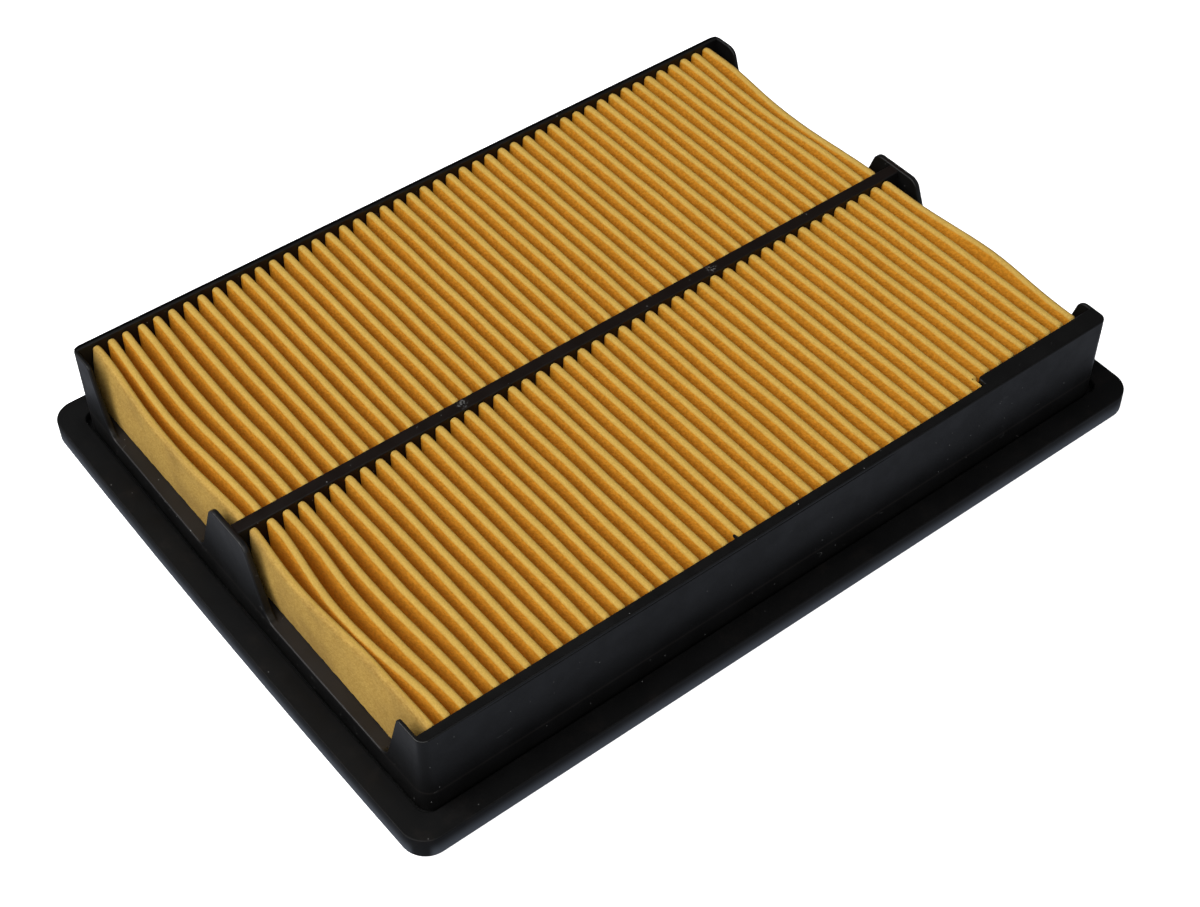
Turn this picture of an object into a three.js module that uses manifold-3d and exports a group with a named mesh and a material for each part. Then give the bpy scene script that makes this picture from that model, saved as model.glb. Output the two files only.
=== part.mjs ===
// A panel air filter element for a motorcycle: a moulded frame with two windows, a soft seal round
// its base flange, a pleated paper pack in each window, and the adhesive that closes the pack edges.
//
// Millimetres, +Z up. The origin is the centre of the seal's bottom face, X runs along the long
// side, and "front" is -Y. The pleats run along Y. The dirty side is up, the clean side is down.
import * as THREE from "three";
import { mergeVertices } from "three/addons/utils/BufferGeometryUtils.js";
import Module from "manifold-3d";

const wasm = await Module();
wasm.setup();

// ---- Driving dimensions -------------------------------------------------------------------------

const HEIGHT = 38.1; // seal's bottom face to the top of the walls
const SEAL = {
  halfLength: 140,
  halfWidth: 104.2,
  height: 8.2,
  land: 7.9, // width of the ring seen from above
  lip: 2.8, // thickness above and below the groove
  radius: 8,
  innerRadius: 4,
};
const END_CROWN = 1; // how far each short end bulges at its middle, at the base
const TOP_CROWN = 0.7; // and at the top
const MOAT = 0.9; // gap between the seal's inner edge and the walls
const DRAFT_X = 0.8; // how much the short ends lean in over the height
const DRAFT_Y = 0.3; // the same for the long walls
const WALL_FRONT = 3.6; // wall thicknesses at the top
const WALL_REAR = 2.3;
const WALL_END = 1.3;
const WALL_RADIUS = { base: 6, top: 3 };
const BAR = { width: 4.3, centre: 0.4, drop: 0.6 }; // its top is a little below the walls'
const SILL = { height: 14, width: 4.65 };
const POST_HALF_WIDTH = 9.4; // centre posts, at the top
const POST_CENTRES = { left: 1.7, right: 0 }; // along Y
const RETURN_START = 84; // |y| where a corner return starts, at the top
const POST_FLANK_RUN = 8.8; // how far a flank leans out from the top to the sill
const RETURN_FLANK_RUN = 7;
const SHOULDER_RADIUS = { post: 4, left: 1.8, right: 4 }; // centre posts, then corner returns
const SILL_FILLET = 5;
const LIP = { start: 80, reach: 3.25, depth: 3.4, radius: 1.4 }; // wider stretch of the front wall's top
const FLANGE = { overhang: 5, radius: 6 }; // from the wall to its edge inside the seal
const GATE_MARKS = { x: 49, radius: 0.8, height: 0.35 }; // where the plastic was fed in, on the bar
const FLASH_NIB = { x: -19, width: 1.1, reach: 1.6, depth: 0.45 }; // moulding flash on the front wall
const FRAME_BOTTOM = 0.8;
const LEDGE = { height: 1.4, width: 2.5 }; // carries the potting under the pleat ends

const PLEATS = 47;
const PAPER = 0.8; // paper thickness
const CREST = 1.2; // outer radius of a fold
const PLEAT_TOP = HEIGHT - 0.6;
const PLEAT_BOTTOM = FRAME_BOTTOM + LEDGE.height + 0.3;
const LEAF_SEAT = 0.2; // the first and last leaf stand on their sill, this far past its inner edge
const LEAF_LEAN = { left: 1.6, right: 2.8 }; // how far they lean in from there towards their crest
const POTTING = { thickness: 0.6, height: 27 };
const STRIP = { thickness: 0.5, height: 3.2 }; // glue fillet under a leaf, against the sill
const CLEARANCE = 0.05; // left between bonded pieces

// ---- Values that follow -------------------------------------------------------------------------

const sealInner = { x: SEAL.halfLength - SEAL.land, y: SEAL.halfWidth - SEAL.land };
const wallBase = { x: sealInner.x - MOAT, y: sealInner.y - MOAT };
const wallTop = { x: wallBase.x - DRAFT_X, y: wallBase.y - DRAFT_Y };
const grooveHeight = SEAL.height - 2 * SEAL.lip;
const postInner = wallTop.x - WALL_END;
const sillOuter = wallBase.x - (DRAFT_X * (SILL.height - FRAME_BOTTOM)) / (HEIGHT - FRAME_BOTTOM);
const sillInner = sillOuter - SILL.width;
const barFront = BAR.centre - BAR.width / 2;
const barRear = BAR.centre + BAR.width / 2;
const BAYS = [
  { name: "front", low: WALL_FRONT - wallTop.y, high: barFront, lowSide: "wall", highSide: "bar" },
  { name: "rear", low: barRear, high: wallTop.y - WALL_REAR, lowSide: "bar", highSide: "wall" },
];
const leafFoot = sillInner + LEAF_SEAT; // |x| of a leaf's middle line at its foot
const firstCrest = -leafFoot + LEAF_LEAN.left + CREST - PAPER / 2;
const lastCrest = leafFoot - LEAF_LEAN.right - CREST + PAPER / 2;
const pitch = (lastCrest - firstCrest) / (PLEATS - 1);

// ---- Mesh helpers -------------------------------------------------------------------------------

function solid(geometry) {
  const bare = geometry.index ? geometry.toNonIndexed() : geometry.clone();
  bare.deleteAttribute("normal");
  bare.deleteAttribute("uv");
  const merged = mergeVertices(bare, 1e-4);
  return new wasm.Manifold(
    new wasm.Mesh({
      numProp: 3,
      vertProperties: merged.attributes.position.array,
      triVerts: new Uint32Array(merged.index.array),
    }),
  );
}

function geometryOf(manifold) {
  const mesh = manifold.getMesh();
  const geometry = new THREE.BufferGeometry();
  geometry.setAttribute("position", new THREE.BufferAttribute(mesh.vertProperties, 3));
  geometry.setIndex(new THREE.BufferAttribute(mesh.triVerts, 1));
  const faceted = geometry.toNonIndexed();
  faceted.computeVertexNormals();
  return faceted;
}

function box(x0, x1, y0, y1, z0, z1) {
  const geometry = new THREE.BoxGeometry(x1 - x0, y1 - y0, z1 - z0);
  return solid(geometry.translate((x0 + x1) / 2, (y0 + y1) / 2, (z0 + z1) / 2));
}

// An upright prism on an outline in X and Y.
function prism(outline, z0, z1) {
  const geometry = new THREE.ExtrudeGeometry(new THREE.Shape(outline), {
    depth: z1 - z0,
    bevelEnabled: false,
  });
  return solid(geometry.translate(0, 0, z0));
}

// A closed solid between two outlines that have the same number of points.
function loft(lower, z0, upper, z1) {
  const count = lower.length;
  const positions = [...lower.map((p) => [p.x, p.y, z0]), ...upper.map((p) => [p.x, p.y, z1])];
  const index = [];
  for (let i = 0; i < count; i++) {
    const next = (i + 1) % count;
    index.push(i, next, count + next, i, count + next, count + i);
  }
  for (const [a, b, c] of THREE.ShapeUtils.triangulateShape(lower, [])) {
    index.push(c, b, a);
    index.push(count + a, count + b, count + c);
  }
  const geometry = new THREE.BufferGeometry();
  geometry.setAttribute("position", new THREE.Float32BufferAttribute(positions.flat(), 3));
  geometry.setIndex(index);
  return solid(geometry);
}

// A rectangle with round corners, counter-clockwise, whose short ends bulge by crown.
function ringOutline(halfLength, halfWidth, radius, crown) {
  const straight = halfWidth - radius;
  const cornerSteps = 6;
  const endSteps = 6;
  const points = [];
  for (const side of [1, -1]) {
    for (let i = 1; i < endSteps; i++) {
      const y = straight * ((2 * i) / endSteps - 1);
      const bulge = crown * (1 - (y / straight) ** 2);
      points.push(new THREE.Vector2(side * (halfLength + bulge), side * y));
    }
    for (const quarter of [0, 1]) {
      const centre = new THREE.Vector2(halfLength - radius, straight);
      centre.x *= quarter === 0 ? side : -side;
      centre.y *= side;
      const start = (side > 0 ? 0 : Math.PI) + (quarter * Math.PI) / 2;
      for (let i = 0; i <= cornerSteps; i++) {
        const angle = start + ((Math.PI / 2) * i) / cornerSteps;
        const reach = new THREE.Vector2(Math.cos(angle), Math.sin(angle));
        points.push(reach.multiplyScalar(radius).add(centre));
      }
    }
  }
  return points;
}

// A polygon whose corners are rounded by the radius given with each point [x, y, radius].
function roundedPolygon(corners, steps = 5) {
  const points = [];
  corners.forEach(([x, y, radius = 0], i) => {
    const corner = new THREE.Vector2(x, y);
    if (radius === 0) {
      points.push(corner);
      return;
    }
    const neighbour = (offset) => {
      const [nx, ny] = corners[(i + offset + corners.length) % corners.length];
      return new THREE.Vector2(nx, ny).sub(corner).normalize();
    };
    const before = neighbour(-1);
    const after = neighbour(1);
    const half = Math.acos(THREE.MathUtils.clamp(before.dot(after), -1, 1)) / 2;
    const toCentre = before.clone().add(after).normalize();
    const centre = toCentre.multiplyScalar(radius / Math.sin(half)).add(corner);
    const reach = radius / Math.tan(half);
    const from = before.multiplyScalar(reach).add(corner).sub(centre);
    const to = after.multiplyScalar(reach).add(corner).sub(centre);
    const sweep = Math.atan2(from.cross(to), from.dot(to));
    for (let k = 0; k <= steps; k++) {
      points.push(from.clone().rotateAround(new THREE.Vector2(), (sweep * k) / steps).add(centre));
    }
  });
  return points;
}

// ---- The frame ----------------------------------------------------------------------------------

function wallBlock() {
  const lower = ringOutline(wallBase.x, wallBase.y, WALL_RADIUS.base, END_CROWN);
  const upper = ringOutline(wallTop.x, wallTop.y, WALL_RADIUS.top, TOP_CROWN);
  return loft(lower, FRAME_BOTTOM, upper, HEIGHT);
}

function flangeOutline(grow) {
  const reach = FLANGE.overhang + grow;
  return ringOutline(wallBase.x + reach, wallBase.y + reach, FLANGE.radius, END_CROWN);
}

function baseFlange() {
  return prism(flangeOutline(0), SEAL.lip, SEAL.lip + grooveHeight);
}

// One window: the full opening above the sill, a shorter one below it, and a smaller one through
// the ledge at the bottom.
function windowCut(bay) {
  const above = box(-postInner, postInner, bay.low, bay.high, SILL.height, HEIGHT + 1);
  const below = box(-sillInner, sillInner, bay.low, bay.high, FRAME_BOTTOM + LEDGE.height, SILL.height + 1);
  const bottom = box(
    -sillInner,
    sillInner,
    bay.low + LEDGE.width,
    bay.high - LEDGE.width,
    0,
    FRAME_BOTTOM + LEDGE.height + 1,
  );
  return above.add(below).add(bottom);
}

// The U-shaped opening of a short end above its sill, on one side of its centre post.
function endOpening(end, side) {
  const margin = 4;
  const above = HEIGHT + margin;
  const top = HEIGHT + 0.01;
  const post = POST_HALF_WIDTH + side * POST_CENTRES[end];
  const corners = [
    [post - margin, above],
    [post - margin, top],
    [post, top, SHOULDER_RADIUS.post],
    [post + POST_FLANK_RUN, SILL.height, SILL_FILLET],
    [RETURN_START - RETURN_FLANK_RUN, SILL.height, SILL_FILLET],
    [RETURN_START, top, SHOULDER_RADIUS[end]],
    [RETURN_START + margin, top],
    [RETURN_START + margin, above],
  ];
  const geometry = new THREE.ExtrudeGeometry(new THREE.Shape(roundedPolygon(corners)), {
    depth: SEAL.halfLength,
    bevelEnabled: false,
  });
  const basis = new THREE.Matrix4().makeBasis(
    new THREE.Vector3(0, 1, 0),
    new THREE.Vector3(0, 0, 1),
    new THREE.Vector3(1, 0, 0),
  );
  geometry.translate(0, 0, postInner / 2).applyMatrix4(basis);
  const opening = side > 0 ? solid(geometry) : solid(geometry).mirror([0, 1, 0]);
  return end === "right" ? opening : opening.mirror([1, 0, 0]);
}

// The stretch of the front wall whose top reaches further over the pleats.
function frontLip(grow = 0) {
  const edge = BAYS[0].low;
  const end = postInner + 0.5;
  const corners = [
    [LIP.start - grow, edge - 0.5],
    [end, edge - 0.5],
    [end, edge + LIP.reach + grow],
    [LIP.start - grow, edge + LIP.reach + grow, LIP.radius],
  ];
  return prism(roundedPolygon(corners), HEIGHT - LIP.depth - grow, HEIGHT + grow);
}

function gateMark(x) {
  const geometry = new THREE.CylinderGeometry(GATE_MARKS.radius, GATE_MARKS.radius, 1, 12);
  const top = HEIGHT - BAR.drop + GATE_MARKS.height;
  return solid(geometry.rotateX(Math.PI / 2).translate(x, BAR.centre, top - 0.5));
}

function flashNib() {
  const half = FLASH_NIB.width / 2;
  const edge = BAYS[0].low;
  return box(
    FLASH_NIB.x - half,
    FLASH_NIB.x + half,
    edge - 0.5,
    edge + FLASH_NIB.reach,
    HEIGHT - FLASH_NIB.depth,
    HEIGHT,
  );
}

function frameSolid() {
  let frame = wallBlock().add(baseFlange());
  for (const bay of BAYS) frame = frame.subtract(windowCut(bay));
  for (const end of ["left", "right"]) {
    for (const side of [1, -1]) frame = frame.subtract(endOpening(end, side));
  }
  const barTop = box(-postInner, postInner, barFront - 1, barRear + 1, HEIGHT - BAR.drop, HEIGHT + 1);
  frame = frame.subtract(barTop).add(frontLip()).add(flashNib());
  for (const side of [1, -1]) frame = frame.add(gateMark(side * GATE_MARKS.x));
  return frame;
}

// ---- The seal -----------------------------------------------------------------------------------

function sealSolid() {
  const outer = ringOutline(SEAL.halfLength, SEAL.halfWidth, SEAL.radius, END_CROWN);
  const inner = ringOutline(sealInner.x, sealInner.y, SEAL.innerRadius, END_CROWN);
  const groove = prism(
    flangeOutline(CLEARANCE),
    SEAL.lip - CLEARANCE,
    SEAL.height - SEAL.lip + CLEARANCE,
  );
  return prism(outer, 0, SEAL.height).subtract(prism(inner, -1, SEAL.height + 1)).subtract(groove);
}

// ---- The pleated paper --------------------------------------------------------------------------

// The sheet's middle line in X and Z: up the first leaf, over each fold and down the last leaf.
function pleatLine() {
  const bend = CREST - PAPER / 2;
  const foldSteps = 3;
  const top = PLEAT_TOP - CREST;
  const bottom = PLEAT_BOTTOM + CREST;
  const foot = SILL.height + CLEARANCE;
  const line = [new THREE.Vector2(-leafFoot, foot)];
  for (let i = 0; i < PLEATS; i++) {
    const crest = firstCrest + pitch * i;
    for (let k = 0; k <= foldSteps; k++) {
      const angle = Math.PI * (1 - k / foldSteps);
      line.push(new THREE.Vector2(crest + bend * Math.cos(angle), top + bend * Math.sin(angle)));
    }
    if (i === PLEATS - 1) break;
    const valley = crest + pitch / 2;
    for (let k = 0; k <= foldSteps; k++) {
      const angle = Math.PI * (1 + k / foldSteps);
      line.push(new THREE.Vector2(valley + bend * Math.cos(angle), bottom + bend * Math.sin(angle)));
    }
  }
  line.push(new THREE.Vector2(leafFoot, foot));
  return line;
}

// Both faces of a sheet of constant thickness round a middle line, as one closed outline.
function thicken(line, thickness) {
  const offset = (side) =>
    line.map((point, i) => {
      const before = line[Math.max(i - 1, 0)];
      const after = line[Math.min(i + 1, line.length - 1)];
      const into = point.clone().sub(before).normalize();
      const out = after.clone().sub(point).normalize();
      const along = into.add(out).normalize();
      const first = i === 0 ? out : point.clone().sub(before).normalize();
      const stretch = 1 / Math.max(Math.abs(along.dot(first)), 0.5);
      const normal = new THREE.Vector2(-along.y, along.x);
      return normal.multiplyScalar((side * thickness * stretch) / 2).add(point);
    });
  return [...offset(-1), ...offset(1).reverse()];
}

// The pack is extruded along Y between the two potting layers.
function packSolid(bay) {
  const start = bay.low + POTTING.thickness + 2 * CLEARANCE;
  const end = bay.high - POTTING.thickness - 2 * CLEARANCE;
  const geometry = new THREE.ExtrudeGeometry(new THREE.Shape(thicken(pleatLine(), PAPER)), {
    depth: end - start,
    bevelEnabled: false,
  });
  geometry.rotateX(Math.PI / 2).translate(0, end, 0);
  return solid(geometry);
}

// ---- Adhesive -----------------------------------------------------------------------------------

function pottingSolid(inner, outward) {
  const z0 = FRAME_BOTTOM + LEDGE.height + CLEARANCE;
  const near = inner + outward * CLEARANCE;
  const far = near + outward * POTTING.thickness;
  const half = sillInner - CLEARANCE;
  return box(-half, half, Math.min(near, far), Math.max(near, far), z0, z0 + POTTING.height);
}

function stripSolid(bay, side) {
  const near = side * (sillInner - CLEARANCE);
  const far = near - side * STRIP.thickness;
  const margin = POTTING.thickness + 3 * CLEARANCE;
  return box(
    Math.min(near, far),
    Math.max(near, far),
    bay.low + margin,
    bay.high - margin,
    SILL.height - STRIP.height,
    SILL.height,
  );
}

// ---- Assembly -----------------------------------------------------------------------------------

const blackPlastic = { color: 0x14161a, roughness: 0.38, metalness: 0 };
const sealRubber = { color: 0x121213, roughness: 0.62, metalness: 0 };
const filterPaper = { color: 0xcf9f4a, roughness: 0.92, metalness: 0 };
const pottingResin = { color: 0x1b1917, roughness: 0.55, metalness: 0 };
const hotMelt = { color: 0x6b4a22, roughness: 0.5, metalness: 0 };

function piece(name, manifold, look) {
  const mesh = new THREE.Mesh(geometryOf(manifold), new THREE.MeshStandardMaterial(look));
  mesh.name = name;
  return mesh;
}

const filter = new THREE.Group();
filter.add(piece("frame", frameSolid(), blackPlastic));
filter.add(piece("perimeter_seal", sealSolid(), sealRubber));
for (const bay of BAYS) {
  let pack = packSolid(bay);
  if (bay.name === "front") pack = pack.subtract(frontLip(0.3));
  filter.add(piece(`${bay.name}_pleat_pack`, pack, filterPaper));
  filter.add(piece(`${bay.name}_${bay.lowSide}_potting`, pottingSolid(bay.low, 1), pottingResin));
  filter.add(piece(`${bay.name}_${bay.highSide}_potting`, pottingSolid(bay.high, -1), pottingResin));
  filter.add(piece(`${bay.name}_left_glue_strip`, stripSolid(bay, -1), hotMelt));
  filter.add(piece(`${bay.name}_right_glue_strip`, stripSolid(bay, 1), hotMelt));
}

export default filter;
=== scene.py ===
"""The looks of a panel air filter: its moulded frame, soft seal, pleated paper packs and adhesive.

Shapes are worked out in millimetres and turn into metres when a mesh is made. X runs along the long
side, the front is -Y, the pleats run along Y and the dirty side is up.
"""
import math
import random

import bmesh
import bpy
import numpy as np
from mathutils import Matrix, Vector


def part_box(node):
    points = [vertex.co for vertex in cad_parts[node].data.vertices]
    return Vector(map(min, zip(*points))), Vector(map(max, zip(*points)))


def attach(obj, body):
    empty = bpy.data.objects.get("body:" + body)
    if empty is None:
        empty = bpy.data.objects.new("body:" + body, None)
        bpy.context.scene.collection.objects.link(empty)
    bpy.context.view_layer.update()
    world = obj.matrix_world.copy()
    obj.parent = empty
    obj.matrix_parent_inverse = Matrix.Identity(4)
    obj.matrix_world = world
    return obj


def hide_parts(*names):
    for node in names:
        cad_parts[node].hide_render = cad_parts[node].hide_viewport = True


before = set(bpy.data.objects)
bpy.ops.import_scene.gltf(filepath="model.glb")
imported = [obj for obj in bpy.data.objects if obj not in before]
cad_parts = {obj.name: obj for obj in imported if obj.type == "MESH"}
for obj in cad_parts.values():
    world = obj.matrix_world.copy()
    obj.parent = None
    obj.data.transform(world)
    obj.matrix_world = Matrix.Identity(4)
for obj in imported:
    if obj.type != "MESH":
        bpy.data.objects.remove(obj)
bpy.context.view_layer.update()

MM = 0.001


# ---- Dimensions, worked out from the frame -------------------------------------------------------

def box_mm(node):
    low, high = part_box(node)
    return np.array(low) / MM, np.array(high) / MM


frame_low, frame_high = box_mm("frame")
seal_high = box_mm("perimeter_seal")[1]
strip_low, strip_high = box_mm("front_left_glue_strip")
pack_low, pack_high = box_mm("front_pleat_pack")

CLEARANCE = 0.05  # between neighbouring pieces
END_CROWN = 1.0  # how far each short end bulges at its middle, at the base
TOP_CROWN = 0.7  # the same at the top
SEAL_LAND = 7.9  # the ring's width
SEAL_LIP = 2.8  # its thickness above and below the flange that it grips
SEAL_RADIUS = 8.0
SEAL_INNER_RADIUS = 4.0
MOAT = 0.9  # the gap between the ring and the walls
DRAFT_X = 0.8  # how far the walls lean in from base to top
DRAFT_Y = 0.3
WALL_END = 1.3  # thickness of the posts at their tops
WALL_RADIUS_BASE = 6.0
WALL_RADIUS_TOP = 3.0
POST_HALF_WIDTH = 9.4
POST_CENTRES = {-1: 1.7, 1: 0.0}  # along Y, left and right
POST_FLANK_RUN = 8.8  # how far a post's side runs outwards from its top to the sill
RETURN_START = 84.0  # along Y from the middle to the corner returns
RETURN_FLANK_RUN = 7.0
SHOULDER_RADIUS = {"post": 4.0, -1: 1.8, 1: 4.0}  # centre posts, left and right corner returns
SILL_FILLET = 5.0
BAR_DROP = 0.6  # how far the bar lies below the walls' tops
GATE_X = 49.0  # the moulding gates' places on the bar
NIB_X = -19.0
LIP_START = 80.0  # the thick part of the front wall's top, from here to the right end
LIP_REACH = 3.25
LIP_DEPTH = 3.4
LIP_RADIUS = 1.4
FLANGE_RADIUS = 6.0
LEDGE_WIDTH = 2.5  # the ledge under the pleat ends
LEDGE_TOP = 2.2

OVERCUT = 1.0  # how far a cut runs past the surface that it opens
OVERLAP = 0.5  # how far a joined piece reaches into its neighbour
TOLERANCE = 0.01
SHARP = math.radians(32)  # convex edges sharper than this are rounded
FLAT = math.radians(0.6)  # faces that meet at less than this become one
EDGE_RADII = {"ledge": 0.25, "rear_wall": 0.8, "front_wall": 0.4, "other": 0.5}

TOP = frame_high[2]
FRAME_BOTTOM = frame_low[2]
SEAL_TOP = seal_high[2]
SILL_TOP = strip_high[2]
SILL_INNER = abs(strip_low[0]) + CLEARANCE
SEAL_HALF = np.array([seal_high[0] - END_CROWN, seal_high[1]])
SEAL_INNER = SEAL_HALF - SEAL_LAND
WALL_BASE = SEAL_INNER - MOAT
WALL_TOP = WALL_BASE - np.array([DRAFT_X, DRAFT_Y])
FLANGE_HALF = np.array([frame_high[0] - END_CROWN, frame_high[1]])
POST_INNER = WALL_TOP[0] - WALL_END
FLANGE_BOTTOM, FLANGE_TOP = SEAL_LIP, SEAL_TOP - SEAL_LIP


def bay_edges(low_potting, high_potting):
    return box_mm(low_potting)[0][1] - CLEARANCE, box_mm(high_potting)[1][1] + CLEARANCE


BAYS = {
    "front": bay_edges("front_wall_potting", "front_bar_potting"),
    "rear": bay_edges("rear_bar_potting", "rear_wall_potting"),
}
BAR_FRONT, BAR_REAR = BAYS["front"][1], BAYS["rear"][0]
BAR_CENTRE = (BAR_FRONT + BAR_REAR) / 2
POTTING_TOP = box_mm("front_wall_potting")[1][2]


# ---- Mesh helpers --------------------------------------------------------------------------------

def mesh_object(name, points, faces):
    """A new object from points in millimetres."""
    mesh = bpy.data.meshes.new(name)
    mesh.from_pydata(np.asarray(points, float) * MM, [], faces)
    mesh.validate()
    obj = bpy.data.objects.new(name, mesh)
    bpy.context.scene.collection.objects.link(obj)
    return obj


def face_outwards(obj):
    bm = bmesh.new()
    bm.from_mesh(obj.data)
    bmesh.ops.recalc_face_normals(bm, faces=bm.faces)
    if bm.calc_volume(signed=True) < 0:
        bmesh.ops.reverse_faces(bm, faces=bm.faces)
    bm.to_mesh(obj.data)
    bm.free()
    return obj


def apply_modifiers(obj):
    depsgraph = bpy.context.evaluated_depsgraph_get()
    mesh = bpy.data.meshes.new_from_object(obj.evaluated_get(depsgraph))
    obj.modifiers.clear()
    obj.data = mesh
    return obj


def combine(obj, tool, operation):
    """Joins or cuts obj with tool, and deletes tool."""
    modifier = obj.modifiers.new("combine", "BOOLEAN")
    modifier.operation = operation
    modifier.solver = "EXACT"
    modifier.object = tool
    apply_modifiers(obj)
    bpy.data.objects.remove(tool)
    return obj


def box(low, high):
    points = [(x, y, z) for z in (low[2], high[2]) for y in (low[1], high[1]) for x in (low[0], high[0])]
    faces = [(0, 2, 3, 1), (4, 5, 7, 6), (0, 1, 5, 4), (2, 6, 7, 3), (0, 4, 6, 2), (1, 3, 7, 5)]
    return mesh_object("tool", points, faces)


def stack(outlines, heights, name="tool"):
    """A closed solid through outlines, which have the same number of points, at these heights."""
    count = len(outlines[0])
    points = [(x, y, z) for outline, z in zip(outlines, heights) for x, y in outline]
    faces = [tuple(reversed(range(count)))]
    for level in range(len(outlines) - 1):
        base = level * count
        for i in range(count):
            j = (i + 1) % count
            faces.append((base + i, base + j, base + count + j, base + count + i))
    last = (len(outlines) - 1) * count
    faces.append(tuple(range(last, last + count)))
    return mesh_object(name, points, faces)


def ring_outline(half, radius, crown, corner_steps=10, end_steps=16):
    """A rectangle with round corners, counter-clockwise, whose short ends bulge by crown."""
    straight = half[1] - radius
    points = []
    for side in (1, -1):
        for i in range(1, end_steps):
            y = straight * (2 * i / end_steps - 1)
            points.append((side * (half[0] + crown * (1 - (y / straight) ** 2)), side * y))
        for quarter in (0, 1):
            centre_x = (half[0] - radius) * (side if quarter == 0 else -side)
            start = (0 if side > 0 else math.pi) + quarter * math.pi / 2
            for i in range(corner_steps + 1):
                angle = start + math.pi / 2 * i / corner_steps
                x = centre_x + radius * math.cos(angle)
                y = side * straight + radius * math.sin(angle)
                points.append((x, y))
    return points


def rounded_polygon(corners, steps=6):
    """A polygon whose corners (x, y, radius) are rounded."""
    points = []
    for i, (x, y, radius) in enumerate(corners):
        corner = Vector((x, y))
        if radius == 0:
            points.append(tuple(corner))
            continue
        before = (Vector(corners[i - 1][:2]) - corner).normalized()
        after = (Vector(corners[(i + 1) % len(corners)][:2]) - corner).normalized()
        half = math.acos(max(-1, min(1, before.dot(after)))) / 2
        centre = corner + (before + after).normalized() * (radius / math.sin(half))
        start = corner + before * (radius / math.tan(half)) - centre
        end = corner + after * (radius / math.tan(half)) - centre
        sweep = math.atan2(start.x * end.y - start.y * end.x, start.dot(end))
        for k in range(steps + 1):
            points.append(tuple(centre + Matrix.Rotation(sweep * k / steps, 2) @ start))
    return points


def smoothstep(value):
    value = np.clip(value, 0, 1)
    return value * value * (3 - 2 * value)


def wave(position, wavelengths, rng):
    """A smooth wandering value between about -1 and 1."""
    total = np.zeros_like(np.asarray(position, float))
    for wavelength in wavelengths:
        total += np.sin(np.asarray(position) * (2 * math.pi / wavelength) + rng.uniform(0, 2 * math.pi))
    return total / len(wavelengths)


# ---- The frame -----------------------------------------------------------------------------------

def wall_block():
    lower = ring_outline(WALL_BASE, WALL_RADIUS_BASE, END_CROWN)
    upper = ring_outline(WALL_TOP, WALL_RADIUS_TOP, TOP_CROWN)
    return stack([lower, upper], [FRAME_BOTTOM, TOP], "moulded_frame")


def base_flange():
    outline = ring_outline(FLANGE_HALF, FLANGE_RADIUS, END_CROWN)
    return stack([outline, outline], [FLANGE_BOTTOM, FLANGE_TOP])


def window_cuts(low, high):
    ledge_low, ledge_high = low + LEDGE_WIDTH, high - LEDGE_WIDTH
    return [
        box((-POST_INNER, low, SILL_TOP), (POST_INNER, high, TOP + OVERCUT)),
        box((-SILL_INNER, low, LEDGE_TOP), (SILL_INNER, high, SILL_TOP + OVERCUT)),
        box((-SILL_INNER, ledge_low, 0), (SILL_INNER, ledge_high, LEDGE_TOP + OVERCUT)),
    ]


def end_opening(end, side):
    """The U-shaped opening of a short end above its sill, on one side of its centre post."""
    margin, reach = 4, 5
    top = TOP + TOLERANCE
    post = POST_HALF_WIDTH + side * POST_CENTRES[end]
    corners = [
        (post - margin, TOP + margin, 0),
        (post - margin, top, 0),
        (post, top, SHOULDER_RADIUS["post"]),
        (post + POST_FLANK_RUN, SILL_TOP, SILL_FILLET),
        (RETURN_START - RETURN_FLANK_RUN, SILL_TOP, SILL_FILLET),
        (RETURN_START, top, SHOULDER_RADIUS[end]),
        (RETURN_START + margin, top, 0),
        (RETURN_START + margin, TOP + margin, 0),
    ]
    outline = rounded_polygon(corners, steps=10)
    tool = stack([outline, outline], [POST_INNER / 2, SEAL_HALF[0] + reach])
    tool.data.transform(Matrix(((0, 0, end, 0), (side, 0, 0, 0), (0, 1, 0, 0), (0, 0, 0, 1))))
    return face_outwards(tool)


def front_lip():
    edge = BAYS["front"][0]
    end = POST_INNER + OVERLAP
    corners = [
        (LIP_START, edge - OVERLAP, 0),
        (end, edge - OVERLAP, 0),
        (end, edge + LIP_REACH, 0),
        (LIP_START, edge + LIP_REACH, LIP_RADIUS),
    ]
    outline = rounded_polygon(corners)
    return stack([outline, outline], [TOP - LIP_DEPTH, TOP])


def edge_radius(middle):
    """How round a moulded edge is, by where it lies."""
    _, y, z = middle
    on_top = z > TOP - 0.1
    near_outside = WALL_TOP[1] - 0.2
    if z < LEDGE_TOP + 0.5:
        return EDGE_RADII["ledge"]
    if z < SEAL_TOP:
        return 0.0
    if on_top and y > near_outside:
        return EDGE_RADII["rear_wall"]
    if on_top and y < -near_outside:
        return EDGE_RADII["front_wall"]
    return EDGE_RADII["other"]


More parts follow.
